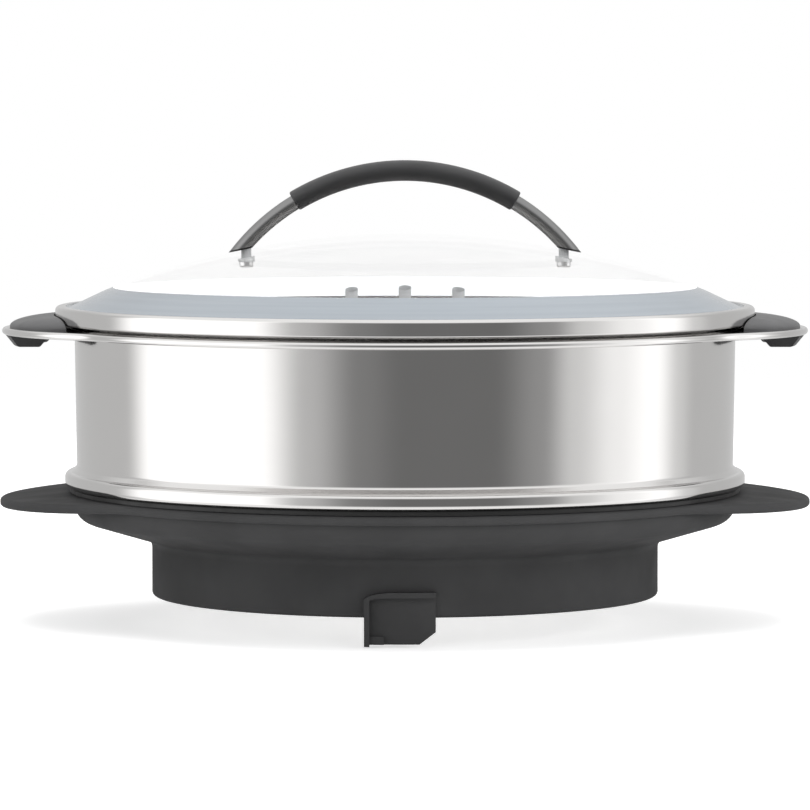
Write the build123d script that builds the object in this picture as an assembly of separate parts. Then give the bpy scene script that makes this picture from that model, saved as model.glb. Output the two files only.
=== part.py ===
from build123d import *
import math
import os

# Wide steamer that stands on the bowl of a cooker: moulded base, steel basket, glass lid.
# Millimetres, +Z up, +X along the ears, -Y towards the front with the key and the vents.
# The origin is the centre of the mouth of the skirt that goes over the bowl.

# Skirt of the base, which goes over the bowl
skirt_bore_radius = 123.5
skirt_wall = 3.0
skirt_depth = 24.0
skirt_edge_radius = 2.0
skirt_root_radius = 4.5
skirt_ceiling_radius = 1.0
skirt_ceiling_width = 11.5

# Dish of the base
dish_overhang = 38.7
dish_wall = 3.0
dish_slope = 16.5
dish_shoulder = 3.5
dish_side = 13.0
dish_corner_radius = 9.0

# Flange and ears of the base
flange_lip = 2.8
flange_thickness = 4.6
flange_edge_radius = 1.9
base_ear_length = 34.3
base_ear_radius = 102.0
base_ear_droop = 3.0
ear_blend_radius = 60.0

# Seals of the base
gasket_width = 5.0
gasket_height = 2.4
gasket_lip_width = 1.8
gasket_lip_depth = 4.0
seal_width = 4.0
seal_stand_out = 0.5
seal_groove_depth = 2.2

# Key at the front of the skirt
key_left = -19.6
key_right = 14.7
key_top = 12.6
key_drop = 13.4
key_set_back = 1.2
key_plate_rise = 0.9
key_bend_start = -5.0
key_bend_fall = 4.0
key_rib = 2.6
key_stand_out = 4.8
key_plate_stand_out = 1.4
key_cut_width = 7.8
key_cut_height = 5.9
key_foot_width = 7.0
key_foot_height = 4.0
key_foot_stand_out = 3.2
key_lug_width = 6.0
key_lug_height = 3.6
key_lug_spacing = 16.0
key_lug_set_back = 0.2

# Steel sheet of the basket and the lid's ring
sheet = 0.8

# Basket
basket_inset = 0.45
basket_height = 77.0
basket_taper = 1.0
bead_reach = 6.0
bead_height = 7.5
bead_flare = 2.7
bead_radius = 2.6
bead_return = 8.0
floor_thickness = 1.0
hole_diameter = 8.0
hole_ring_step = 22.0
holes_per_ring = 6
hole_rings = 6

# Rim of the basket
rim_overhang = 11.25
rim_ear_length = 25.0
rim_ear_radius = 100.0
rim_roll_radius = 1.75
rim_seat_rise = 2.8
rim_seat_width = 5.8
rim_seat_slope = 1.6

# Grips on the ears of the rim
grip_inset = 0.4
grip_top_half_length = 68.0
grip_top_height = 7.6
grip_top_edge = 2.0
grip_top_shoulder = 24.0
grip_bottom_width = 17.0
grip_bottom_height = 7.0
grip_bottom_half_length = 30.0
grip_bottom_slope = 4.5
grip_bottom_lip = 2.3
screw_radius = 1.75
screw_head_radius = 3.2
screw_head_height = 1.8
screw_head_recess = 0.8
screw_angle = 11.0

# Ring of the lid
ring_overhang = 10.4
ring_height = 8.9
ring_top_width = 5.2
ring_hem_width = 2.6
ring_hem_slope = 1.2
ring_foot_width = 3.2
ring_foot_slope = 1.4
ring_lip_depth = 5.4

# Glass of the lid
glass_thickness = 4.2
dome_rise = 36.5
dome_break_inset = 24.35
dome_break_fall = 28.3
glass_flat_width = 5.6
glass_bend_step = 1.2
vent_diameter = 6.0
vent_inset = 14.6
vent_spacing = 25.3

# Handle of the lid
bow_radius = 106.0
bow_rise = 30.8
bow_thickness = 7.6
bow_width = 11.0
sleeve_thickness = 10.4
sleeve_width = 13.4
sleeve_offset = 0.6
sleeve_half_angle = 31.2
foot_pad_thickness = 0.8
handle_screw_inset = 3.0
handle_screw_radius = 2.0
handle_screw_head_radius = 3.5
handle_screw_head_height = 2.8
handle_screw_bite = 3.4
under_washer_radius = 4.2
under_washer_height = 1.4

# Angle of a rounded corner's arc, in degrees
quarter_turn = 90

# Clearances between pieces
seat_gap = 0.3
lid_lip_gap = 0.6
ring_grip_gap = 0.7
roll_grip_gap = 0.15
glass_edge_gap = 0.6
seal_gap = 0.1
seam_gap = 0.02
hole_gap = 0.5

# Radii and reaches that follow from the sizes above
skirt_radius = skirt_bore_radius + skirt_wall
steam_opening_radius = skirt_bore_radius - skirt_ceiling_width
dish_radius = skirt_radius + dish_overhang
flange_radius = dish_radius + flange_lip
base_ear_reach = flange_radius + base_ear_length
basket_radius = dish_radius - basket_inset
basket_bore_radius = basket_radius - sheet
rim_radius = basket_radius + rim_overhang
rim_ear_reach = rim_radius + rim_ear_length
ring_radius = basket_bore_radius + ring_overhang
dome_break_radius = ring_radius - dome_break_inset
vent_radius = dome_break_radius - vent_inset

# Heights that follow from the sizes above
slope = math.tan(math.radians(dish_slope))
dish_rise_over_wall = dish_wall / math.cos(math.radians(dish_slope))
shoulder_z = skirt_depth + dish_shoulder
dish_corner_z = shoulder_z + (dish_radius - skirt_radius) * slope
flange_top = dish_corner_z + dish_side
gasket_top = flange_top + gasket_height
basket_bottom = gasket_top + seat_gap
basket_top = basket_bottom + basket_height
rim_plate_top = basket_top + sheet
rim_seat_top = rim_plate_top + rim_seat_rise
lid_bottom = rim_seat_top + seat_gap
glass_top = lid_bottom + ring_height - sheet
glass_bottom = glass_top - glass_thickness
dome_top = glass_top + dome_rise
dome_radius = (dome_break_radius ** 2 + dome_break_fall ** 2) / (2 * dome_break_fall)
dome_centre_z = dome_top - dome_radius
bow_centre_z = dome_top + bow_rise - bow_radius

# Place where the middle line of the bow meets the outside of the dome
centre_distance = bow_centre_z - dome_centre_z
bow_foot_height = (dome_radius ** 2 - bow_radius ** 2 - centre_distance ** 2) / (2 * centre_distance)
bow_foot_reach = math.sqrt(bow_radius ** 2 - bow_foot_height ** 2)
foot_reach = bow_foot_reach - handle_screw_inset


def turned(profile):
    """Turns a profile of radius and height once round the steamer's axis."""
    return revolve(Plane.XZ * profile, Axis.Z)


def rounded_face(*corners):
    """Makes a face from corners given as x, y and the radius of the corner."""
    face = make_face(Polyline(*[(x, y) for x, y, _ in corners], close=True))
    for x, y, radius in corners:
        if radius > 0:
            face = fillet(face.vertices().sort_by_distance((x, y, 0))[0], radius)
    return face


def sheet_face(start, corners, end):
    """Makes the section of a bent sheet from its face on the left of the path."""
    path = FilletPolyline(
        start, *[(x, y) for x, y, _ in corners], end, radius=[radius for _, _, radius in corners]
    )
    return make_face(Wire(path.edges()).offset_2d(sheet, side=Side.RIGHT, closed=True))


def eared_outline(radius, reach, ear_radius, inset=0.0):
    """Makes a disc with an ear on each side, blended where the ears leave the disc."""
    outline = Circle(radius - inset)
    for side in (-1, 1):
        outline += Pos(side * (reach - ear_radius), 0) * Circle(ear_radius - inset)
    return fillet(outline.vertices(), ear_blend_radius + inset)


def both_sides(make):
    """Makes a piece for the left ear and for the right ear."""
    return [make(-1), make(1)]


def upright(radius, low, high):
    """Makes an upright round bar between two heights."""
    return Pos(0, 0, low) * Cylinder(radius, high - low, align=(Align.CENTER, Align.CENTER, Align.MIN))


def ball(radius):
    """Makes a ball about the centre of the dome."""
    return Pos(0, 0, dome_centre_z) * Sphere(radius)


def front_prism(profile, inner_radius, outer_radius):
    """Extrudes a front view of x and z through the front of a tube wall."""
    block = extrude(Plane.XZ * profile, 2 * outer_radius)
    height = 4 * skirt_depth
    tube = upright(outer_radius, -height, height) - upright(inner_radius, -height, height)
    return block & tube


def flange():
    """Makes the flange with its two ears, which droop a little towards their tips."""
    reach = base_ear_reach + flange_lip
    flange_bottom = flange_top - flange_thickness
    root = dish_radius - dish_wall / 2
    section = Polyline(
        (root, flange_bottom),
        (dish_radius, flange_bottom),
        (reach, flange_bottom - base_ear_droop),
        (reach, flange_top - base_ear_droop),
        (dish_radius, flange_top),
        (root, flange_top),
        close=True,
    )
    outline = eared_outline(flange_radius, base_ear_reach, base_ear_radius)
    plate = turned(make_face(section)) & extrude(outline, 2 * flange_top)
    inner = dish_radius
    edges = plate.edges().filter_by(
        lambda edge: math.hypot(*tuple(edge.center())[:2]) > inner
        and edge.length > 2 * flange_thickness
        and math.hypot(*tuple(edge @ 0)[:2]) > inner + flange_lip / 2
    )
    return fillet(edges, flange_edge_radius)


def seal_groove_radius():
    """Gives the middle radius of the groove that holds the bowl's seal."""
    return (steam_opening_radius + skirt_bore_radius) / 2 + seal_width / 4


def seal_ring(gap):
    """Makes the seal in the skirt's ceiling, or its groove when given a gap."""
    middle = seal_groove_radius()
    low = skirt_depth - seal_stand_out if gap == 0 else 0
    high = skirt_depth + seal_groove_depth - (seal_gap if gap == 0 else 0)
    half = seal_width / 2 + gap
    return upright(middle + half, low, high) - upright(middle - half, low, high)


def key_lug_places():
    """Gives the x of the two lugs that hold the key in the skirt's wall."""
    middle = (key_left + key_rib + key_right) / 2
    return [middle - key_lug_spacing / 2, middle + key_lug_spacing / 2]


def key_lugs(gap):
    """Makes the key's two lugs, or the windows for them when given a gap."""
    inner = skirt_bore_radius + (key_lug_set_back if gap == 0 else -gap)
    lugs = None
    for x in key_lug_places():
        face = Pos(x, key_top / 2) * Rectangle(key_lug_width + 2 * gap, key_lug_height + 2 * gap)
        lug = front_prism(face, inner, skirt_radius + gap)
        lugs = lug if lugs is None else lugs + lug
    return lugs


def base_dish():
    """Makes the moulded base: skirt, sloping floor, upright side, flange and ears."""
    opening_z = shoulder_z + (steam_opening_radius - skirt_radius) * slope + dish_rise_over_wall
    inner = dish_radius - dish_wall
    inner_corner_z = shoulder_z + (inner - skirt_radius) * slope + dish_rise_over_wall
    section = rounded_face(
        (steam_opening_radius, skirt_depth, 0.6),
        (skirt_bore_radius, skirt_depth, skirt_ceiling_radius),
        (skirt_bore_radius, 0, 0),
        (skirt_radius, 0, skirt_edge_radius),
        (skirt_radius, shoulder_z, skirt_root_radius),
        (dish_radius, dish_corner_z, dish_corner_radius),
        (dish_radius, flange_top, 0),
        (inner, flange_top, 0.8),
        (inner, inner_corner_z, dish_corner_radius - dish_wall),
        (steam_opening_radius, opening_z, 1.5),
    )
    return turned(section) + flange() - seal_ring(seal_gap) - key_lugs(seal_gap)


def safety_key():
    """Makes the key: bent ledge with a rib, hanging plate, foot block and two lugs."""
    rib_right = key_left + key_rib
    bottom = -key_drop
    inner = skirt_bore_radius + key_set_back
    bend = EllipticalCenterArc(
        (key_bend_start, key_top - key_bend_fall),
        key_bend_start - key_left,
        key_bend_fall,
        start_angle=quarter_turn,
        arc_size=quarter_turn,
    )
    inner_bend = EllipticalCenterArc(
        (key_bend_start, key_top - key_bend_fall),
        key_bend_start - rib_right,
        key_bend_fall - key_rib,
        start_angle=quarter_turn,
        arc_size=quarter_turn,
    )
    hook = make_face(
        [
            bend,
            Line(bend @ 1, (key_left, bottom)),
            Line((key_left, bottom), (rib_right, bottom)),
            Line((rib_right, bottom), inner_bend @ 1),
            inner_bend,
            Line(inner_bend @ 0, (key_right, key_top - key_rib)),
            Line((key_right, key_top - key_rib), (key_right, key_top)),
            Line((key_right, key_top), bend @ 0),
        ]
    )
    plate_bottom = bottom + key_plate_rise
    plate = make_face(
        [
            inner_bend,
            Line(inner_bend @ 1, (rib_right, plate_bottom)),
            Line((rib_right, plate_bottom), (key_right - key_cut_width, plate_bottom)),
            Line((key_right - key_cut_width, plate_bottom), (key_right, plate_bottom + key_cut_height)),
            Line((key_right, plate_bottom + key_cut_height), (key_right, key_top - key_rib)),
            Line((key_right, key_top - key_rib), inner_bend @ 0),
        ]
    )
    foot = Pos(rib_right, plate_bottom) * Rectangle(
        key_foot_width, key_foot_height, align=(Align.MIN, Align.MIN)
    )
    key = (
        front_prism(hook, inner, skirt_radius + key_stand_out)
        + front_prism(plate, inner, skirt_radius + key_plate_stand_out)
        + front_prism(foot, inner, skirt_radius + key_foot_stand_out)
    )
    key -= upright(skirt_radius, 0, 2 * key_top)
    return key + key_lugs(0)


def seat_gasket():
    """Makes the gasket on the flange, with a lip inside the dish's side."""
    inner = dish_radius - dish_wall - gasket_lip_width
    outer = dish_radius - dish_wall + gasket_width
    section = rounded_face(
        (inner, flange_top - gasket_lip_depth, 0.5),
        (dish_radius - dish_wall - seal_gap, flange_top - gasket_lip_depth, 0.5),
        (dish_radius - dish_wall - seal_gap, flange_top, 0),
        (outer, flange_top, 0.5),
        (outer, gasket_top, 0.8),
        (inner, gasket_top, 0.8),
    )
    return turned(section)


def basket_wall():
    """Makes the basket's wall with its flare and the rolled bead that holds the floor."""
    foot_radius = basket_radius - basket_taper
    bead_outer = foot_radius + bead_reach
    bead_top = basket_bottom + bead_height
    return turned(
        sheet_face(
            (basket_radius, basket_top),
            [
                (foot_radius, bead_top + bead_flare, 2.4),
                (foot_radius + bead_flare, bead_top, 0.8),
                (bead_outer, bead_top, bead_radius),
                (bead_outer, basket_bottom, bead_radius),
            ],
            (bead_outer - bead_return, basket_bottom),
        )
    )


def perforated_floor():
    """Makes the floor: a disc on the bead's return with rings of round holes."""
    outer = basket_radius - basket_taper + bead_reach - bead_radius - sheet
    disc = Circle(outer) - Circle(hole_diameter / 2)
    for ring in range(1, hole_rings + 1):
        count = holes_per_ring * ring
        disc -= PolarLocations(hole_ring_step * ring, count) * Circle(hole_diameter / 2)
    return Pos(0, 0, basket_bottom + sheet) * extrude(disc, floor_thickness)


def ear_centre(side):
    """Gives the centre of the round of one of the rim's ears."""
    return side * (rim_ear_reach - rim_ear_radius)


def grip_radius():
    """Gives the radius of the grips' outer edge, inside the rolled edge of the ear."""
    return rim_ear_radius - 2 * rim_roll_radius - grip_inset


def screw_places(side):
    """Gives the two places where screws go through one ear."""
    middle = grip_radius() - grip_bottom_width / 2
    angle = math.radians(screw_angle)
    x = ear_centre(side) + side * middle * math.cos(angle)
    return [(x, middle * math.sin(angle)), (x, -middle * math.sin(angle))]


def screw_shanks(radius):
    """Makes the shanks of the four grip screws, or the holes for them."""
    low = basket_top - grip_bottom_height + screw_head_height
    high = rim_plate_top + grip_top_height / 2
    return [Pos(x, y, 0) * upright(radius, low, high) for side in (-1, 1) for x, y in screw_places(side)]


def grip_screws():
    """Makes the four screws, each with its head inside the lower grip."""
    low = basket_top - grip_bottom_height + screw_head_recess
    shanks = screw_shanks(screw_radius)
    places = screw_places(-1) + screw_places(1)
    heads = [Pos(x, y, 0) * upright(screw_head_radius, low, low + screw_head_height) for x, y in places]
    return [shank + head for shank, head in zip(shanks, heads)]


def rim_plate():
    """Makes the rim: raised seat for the lid, flat plate with two ears, rolled edge."""
    seat_outer = basket_bore_radius + rim_seat_width
    plate_start = seat_outer + rim_seat_slope
    seat = turned(
        sheet_face(
            (basket_bore_radius, basket_top + seam_gap),
            [
                (basket_bore_radius, rim_seat_top, 1.2),
                (seat_outer, rim_seat_top, 1.2),
                (plate_start, rim_plate_top, 1.0),
            ],
            (plate_start + rim_roll_radius, rim_plate_top),
        )
    )
    roll_line = eared_outline(rim_radius, rim_ear_reach, rim_ear_radius, rim_roll_radius)
    plate = extrude(roll_line - Circle(plate_start + rim_roll_radius / 2), sheet)
    path = roll_line.face().outer_wire()
    roll = sweep(Plane(path @ 0, z_dir=path % 0) * Circle(rim_roll_radius), path=path)
    rim = Pos(0, 0, basket_top) * plate + Pos(0, 0, basket_top + sheet / 2) * roll + seat
    for hole in screw_shanks(screw_radius + hole_gap):
        rim -= hole
    return rim


def grip_top(side):
    """Makes the domed grip on one ear, open where the lid's ring stands."""
    outer = grip_radius()
    shoulder = EllipticalCenterArc(
        (outer - grip_top_shoulder, grip_top_edge),
        grip_top_shoulder,
        grip_top_height - grip_top_edge,
        start_angle=0,
        arc_size=quarter_turn,
    )
    section = make_face(
        [
            Polyline((0, grip_top_height), (0, 0), (outer, 0), shoulder @ 0),
            shoulder,
            Line(shoulder @ 1, (0, grip_top_height)),
        ]
    )
    dome = Pos(ear_centre(side), 0, rim_plate_top) * turned(section)
    strip = Pos(side * ring_radius, 0) * Rectangle(ring_radius, 2 * grip_top_half_length)
    plan = strip - Circle(ring_radius + ring_grip_gap)
    dome &= extrude(plan, 2 * dome_top)
    for shank in screw_shanks(screw_radius):
        dome -= shank
    return dome


def grip_bottom(side):
    """Makes the bar under one ear, with sloping sides and a lip under the rolled edge."""
    outer = grip_radius()
    inner = outer - grip_bottom_width
    lip = outer + grip_bottom_lip
    low = -grip_bottom_height
    under_roll = sheet / 2 - rim_roll_radius - roll_grip_gap
    section = rounded_face(
        (inner, 0, 0),
        (inner + grip_bottom_slope, low, 1.2),
        (lip - grip_bottom_slope, low, 1.6),
        (lip, under_roll, 0),
        (outer, under_roll, 0),
        (outer, 0, 0),
    )
    bar = Pos(ear_centre(side), 0, basket_top) * turned(section)
    half = grip_bottom_half_length
    short = half - grip_bottom_slope
    ends = make_face(Polyline((-half, 0), (half, 0), (short, low), (-short, low), close=True))
    window = extrude(Plane.YZ * ends, side * rim_ear_reach)
    bar &= Pos(ear_centre(side), 0, basket_top) * window
    head_top = basket_top + low + screw_head_recess + screw_head_height
    for x, y in screw_places(side):
        bar -= Pos(x, y, 0) * upright(screw_head_radius, 0, head_top)
    for shank in screw_shanks(screw_radius):
        bar -= shank
    return bar


def lid_ring():
    """Makes the steel band: top over the glass, hem, seat under the glass and lip."""
    lip_radius = basket_bore_radius - lid_lip_gap
    top = lid_bottom + ring_height
    hem = lid_bottom + sheet / 4
    under_glass = glass_bottom - sheet
    hem_inner = ring_radius - ring_hem_width
    foot_outer = lip_radius + ring_foot_width
    return turned(
        sheet_face(
            (ring_radius - ring_top_width, top),
            [
                (ring_radius, top, 2.2),
                (ring_radius, hem, 1.2),
                (hem_inner, hem, 1.0),
                (hem_inner - ring_hem_slope, under_glass, 1.0),
                (foot_outer + ring_foot_slope, under_glass, 1.0),
                (foot_outer, lid_bottom, 1.0),
                (lip_radius, lid_bottom, 1.0),
            ],
            (lip_radius, lid_bottom - ring_lip_depth),
        )
    )


def glass_edge():
    """Gives the radius of the glass inside the ring."""
    return ring_radius - sheet - glass_edge_gap


def lid_glass():
    """Makes the glass: dome, steeper outer zone and flat rim, with vents and bolt holes."""
    edge = glass_edge()
    flat = edge - glass_flat_width
    inner_flat = flat - glass_bend_step
    break_z = dome_top - dome_break_fall
    inner_radius = dome_radius - glass_thickness
    inner_break = dome_break_radius * inner_radius / dome_radius
    inner_break_z = dome_centre_z + (break_z - dome_centre_z) * inner_radius / dome_radius
    mid = dome_break_radius / 2
    outer_arc = ThreePointArc(
        (0, dome_top),
        (mid, dome_centre_z + math.sqrt(dome_radius ** 2 - mid ** 2)),
        (dome_break_radius, break_z),
    )
    inner_arc = ThreePointArc(
        (inner_break, inner_break_z),
        (mid, dome_centre_z + math.sqrt(inner_radius ** 2 - mid ** 2)),
        (0, dome_top - glass_thickness),
    )
    section = make_face(
        [
            outer_arc,
            Line(outer_arc @ 1, (flat, glass_top)),
            Line((flat, glass_top), (edge, glass_top)),
            Line((edge, glass_top), (edge, glass_bottom)),
            Line((edge, glass_bottom), (inner_flat, glass_bottom)),
            Line((inner_flat, glass_bottom), inner_arc @ 0),
            inner_arc,
            Line(inner_arc @ 1, (0, dome_top)),
        ]
    )
    bends = [
        (dome_break_radius, break_z, 60.0),
        (inner_break, inner_break_z, 60.0),
        (flat, glass_top, 6.0),
        (inner_flat, glass_bottom, 8.0),
        (edge, glass_top, 1.2),
        (edge, glass_bottom, 1.2),
    ]
    for x, y, radius in bends:
        section = fillet(section.vertices().sort_by_distance((x, y, 0))[0], radius)
    glass = turned(section)
    vent_y = -math.sqrt(vent_radius ** 2 - vent_spacing ** 2)
    for step in (-1, 0, 1):
        glass -= Pos(step * vent_spacing, vent_y, 0) * upright(vent_diameter / 2, 0, 2 * dome_top)
    for side in (-1, 1):
        glass -= Pos(side * foot_reach, 0, 0) * upright(handle_screw_radius + hole_gap, 0, 2 * dome_top)
    return glass


def bow_band(thickness, width, offset, half_angle):
    """Makes a stretch of the bow: an oval section turned about the bow's own centre."""
    middle = bow_radius + offset
    section = Pos(0, 0, bow_centre_z + middle) * (Plane.YZ * Ellipse(width / 2, thickness / 2))
    start = section.rotate(Axis((0, 0, bow_centre_z), (0, 1, 0)), -half_angle)
    return revolve(start, Axis((0, 0, bow_centre_z), (0, 1, 0)), 2 * half_angle)


def whole_bow():
    """Makes the bow longer than it is, so that the glass can cut its feet."""
    reach = math.degrees(math.asin(min(1.0, (foot_reach + bow_thickness) / bow_radius)))
    return bow_band(bow_thickness, bow_width, 0, reach)


def handle_screws():
    """Makes the two screws that hold the bow from under the glass."""
    glass_z = dome_centre_z + math.sqrt(dome_radius ** 2 - foot_reach ** 2)
    head_top = glass_z - glass_thickness - under_washer_height - foot_pad_thickness
    top = glass_z + foot_pad_thickness + handle_screw_bite
    screw = upright(handle_screw_radius, head_top, top)
    head = upright(handle_screw_head_radius, head_top - handle_screw_head_height, head_top)
    head = fillet(head.edges().group_by(Axis.Z)[0], 1.0)
    return both_sides(lambda side: Pos(side * foot_reach, 0, 0) * (screw + head))


def under_washers():
    """Makes the two washers between the screws' heads and the glass."""
    glass_z = dome_centre_z + math.sqrt(dome_radius ** 2 - foot_reach ** 2)
    low = glass_z - glass_thickness - under_washer_height - foot_pad_thickness
    inside = ball(dome_radius - glass_thickness)

    def washer(side):
        tube = upright(under_washer_radius, low, glass_z) - upright(handle_screw_radius, low, glass_z)
        return (Pos(side * foot_reach, 0, 0) * tube) & inside

    return both_sides(washer)


def foot_pads(screws):
    """Makes the thin pads between the bow's feet and the glass."""
    pads = (whole_bow() & ball(dome_radius + foot_pad_thickness)) - ball(dome_radius)
    for screw in screws:
        pads -= screw
    return pads


def handle_bow(screws):
    """Makes the bow, cut by the pads on the glass and tapped for the screws."""
    bow = whole_bow() - ball(dome_radius + foot_pad_thickness)
    for screw in screws:
        bow -= screw
    return bow


def handle_sleeve():
    """Makes the sleeve round the top of the bow."""
    sleeve = bow_band(sleeve_thickness, sleeve_width, sleeve_offset, sleeve_half_angle)
    return sleeve - whole_bow()


def save(name, shape):
    """Writes one sub-part, which may be a group of separate solids."""
    solids = shape if isinstance(shape, list) else [shape]
    solids = [solid for item in solids for solid in item.solids()]
    part = solids[0] if len(solids) == 1 else Compound(children=solids)
    part.label = name
    export_step(part, f"parts/{name}.step")


os.makedirs("parts", exist_ok=True)
bow_screws = handle_screws()
pieces = {
    "base_dish": base_dish(),
    "safety_key": safety_key(),
    "seat_gasket": seat_gasket(),
    "bowl_seal": seal_ring(0),
    "basket_wall": basket_wall(),
    "perforated_floor": perforated_floor(),
    "rim_plate": rim_plate(),
    "grip_top_left": grip_top(-1),
    "grip_top_right": grip_top(1),
    "grip_bottom_left": grip_bottom(-1),
    "grip_bottom_right": grip_bottom(1),
    "grip_screws": grip_screws(),
    "lid_ring": lid_ring(),
    "lid_glass": lid_glass(),
    "handle_bow": handle_bow(bow_screws),
    "handle_sleeve": handle_sleeve(),
    "foot_pads": foot_pads(bow_screws),
    "under_washers": under_washers(),
    "handle_screws": bow_screws,
}
for name, shape in pieces.items():
    save(name, shape)
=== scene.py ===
"""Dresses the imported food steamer: its moulded base, its steel basket and its glass lid.

Every size here is in millimetres, and a mesh is scaled to metres when it is done. The part stands as
in the frame: +Z up, +X along the ears, -Y towards the front with the key and the vents.
"""

import logging
import math
from dataclasses import dataclass, field
from enum import Enum
from functools import partial
from typing import Any, Iterable, Mapping, Sequence

import bmesh
import bpy
from mathutils import Matrix, Vector


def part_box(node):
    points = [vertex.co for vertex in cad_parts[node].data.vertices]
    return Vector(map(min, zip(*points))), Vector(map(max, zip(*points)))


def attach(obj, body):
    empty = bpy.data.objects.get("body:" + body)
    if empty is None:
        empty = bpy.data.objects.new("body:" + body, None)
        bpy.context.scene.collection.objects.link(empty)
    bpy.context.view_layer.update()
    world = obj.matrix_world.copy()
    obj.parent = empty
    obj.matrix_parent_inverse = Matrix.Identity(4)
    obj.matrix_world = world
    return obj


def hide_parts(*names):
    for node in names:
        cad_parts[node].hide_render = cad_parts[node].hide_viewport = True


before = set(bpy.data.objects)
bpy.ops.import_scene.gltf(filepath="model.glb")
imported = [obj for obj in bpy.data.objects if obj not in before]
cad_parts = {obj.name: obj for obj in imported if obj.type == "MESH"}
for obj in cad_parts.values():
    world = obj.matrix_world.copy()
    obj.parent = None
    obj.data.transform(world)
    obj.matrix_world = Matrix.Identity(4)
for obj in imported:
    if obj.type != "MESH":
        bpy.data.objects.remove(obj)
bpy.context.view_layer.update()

log = logging.getLogger("steamer")

BMesh = bmesh.types.BMesh
Vert = bmesh.types.BMVert
Edge = bmesh.types.BMEdge
Piece = bpy.types.Object
Socket = bpy.types.NodeSocket
Colour = tuple[float, float, float]

MM = 0.001
TURN_STEPS = 256
SCREW_STEPS = 48
SWING_STEPS = 60
ROUND_STEP = math.radians(11)
SHARP_ANGLE = math.radians(38)
FLAT_ANGLE = math.radians(0.4)
WELD = 0.002
TOUCH = 0.01
ORIGIN = Vector((0, 0, 0))
SIDES = (-1, 1)


class Axis(Enum):
    """The axes that a section is spun about."""

    Y = (0, 1, 0)
    Z = (0, 0, 1)


class Ear(Enum):
    """The two ears of the steamer, with the sign of their side."""

    LEFT = -1
    RIGHT = 1


class Brushing(Enum):
    """The way the fine lines of a ground steel surface run."""

    ROUND_THE_AXIS = "round the axis"
    ALONG_THE_BOW = "along the bow"


class GlassZone(Enum):
    """The zones of the lid's glass, with the number of the material that each one gets."""

    CLEAR_DOME = 0
    STEEP_EDGE = 1
    GROUND_BORE = 2


@dataclass(frozen=True)
class Corner:
    """One corner of a section: its distance from the axis, its height and its rounding."""

    x: float
    z: float
    rounding: float = 0.0


@dataclass(frozen=True)
class Bore:
    """An upright round hole: its place, its radius and the heights between which it is cut."""

    x: float
    y: float
    radius: float
    low: float
    high: float
    segments: int = 48


@dataclass(frozen=True)
class NodeBox:
    """The box of a CAD node at rest, in millimetres."""

    low: Vector
    high: Vector

    @classmethod
    def of(cls, node: str) -> "NodeBox":
        """Reads the box of one node of the frame."""
        low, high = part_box(node)
        return cls(low / MM, high / MM)


def node_box(node: str) -> Any:
    """Gives a dataclass field that holds the box of a CAD node."""
    return field(default_factory=partial(NodeBox.of, node))


def only(kind: type, items: Iterable[Any]) -> list[Any]:
    """Picks the items of one kind from what an operator gives back."""
    return [item for item in items if isinstance(item, kind)]


def open_edges(mesh: BMesh) -> list[Edge]:
    """Gives the edges of a mesh that have a face on one side only."""
    return [edge for edge in mesh.edges if edge.is_boundary]


def join_points(mesh: BMesh, chain: Sequence[Vert]) -> None:
    """Joins the points of a chain with edges, each to the next."""
    for point, follower in zip(chain, chain[1:]):
        mesh.edges.new((point, follower))


def resize(mesh: BMesh, x: float, y: float, z: float) -> None:
    """Scales a whole mesh about the origin."""
    bmesh.ops.scale(mesh, vec=(x, y, z), verts=mesh.verts)


def move(mesh: BMesh, way: Sequence[float]) -> None:
    """Moves a whole mesh."""
    bmesh.ops.translate(mesh, vec=way, verts=mesh.verts)


def rotate(mesh: BMesh, axis: Axis, angle: float, centre: Vector) -> None:
    """Turns a whole mesh by an angle in radians about an axis through a centre."""
    bmesh.ops.rotate(mesh, verts=mesh.verts, cent=centre, matrix=Matrix.Rotation(angle, 3, axis.name))


def weld(mesh: BMesh) -> None:
    """Merges the vertices of a mesh that lie in the same place."""
    bmesh.ops.remove_doubles(mesh, verts=mesh.verts, dist=WELD)


def spin(
    mesh: BMesh,
    axis: Axis,
    angle: float,
    steps: int,
    centre: Vector = ORIGIN,
    geometry: Sequence[Any] = (),
    merge: bool = False,
) -> list[Any]:
    """Spins a section about an axis.

    Args:
        mesh: The mesh that holds the section.
        axis: The axis.
        angle: The angle of the whole spin, in radians.
        steps: The number of its steps.
        centre: A point of the axis.
        geometry: The section, or nothing for all that the mesh holds.
        merge: Whether the last step meets the first.

    Returns:
        What the last step made.
    """
    return bmesh.ops.spin(
        mesh,
        geom=list(geometry) or mesh.verts[:] + mesh.edges[:],
        cent=centre,
        axis=axis.value,
        angle=angle,
        steps=steps,
        use_merge=merge,
    )["geom_last"]


def turn_round(mesh: BMesh, steps: int = TURN_STEPS) -> BMesh:
    """Turns a section once round the steamer's axis, and closes its poles.

    Args:
        mesh: The mesh that holds the section.
        steps: How many steps the turn has.

    Returns:
        The same mesh.
    """
    spin(mesh, Axis.Z, 2 * math.pi, steps, merge=True)
    weld(mesh)
    return mesh


def swing(mesh: BMesh, axis: Axis, centre: Vector, half_angle: float, steps: int) -> BMesh:
    """Swings a section to both sides about an axis.

    Args:
        mesh: The mesh that holds the section.
        axis: The axis.
        centre: A point of the axis.
        half_angle: How far it swings to each side, in radians.
        steps: How many steps the whole swing has.

    Returns:
        The same mesh, open at both ends.
    """
    rotate(mesh, axis, -half_angle, centre)
    spin(mesh, axis, 2 * half_angle, steps, centre)
    return mesh


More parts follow.
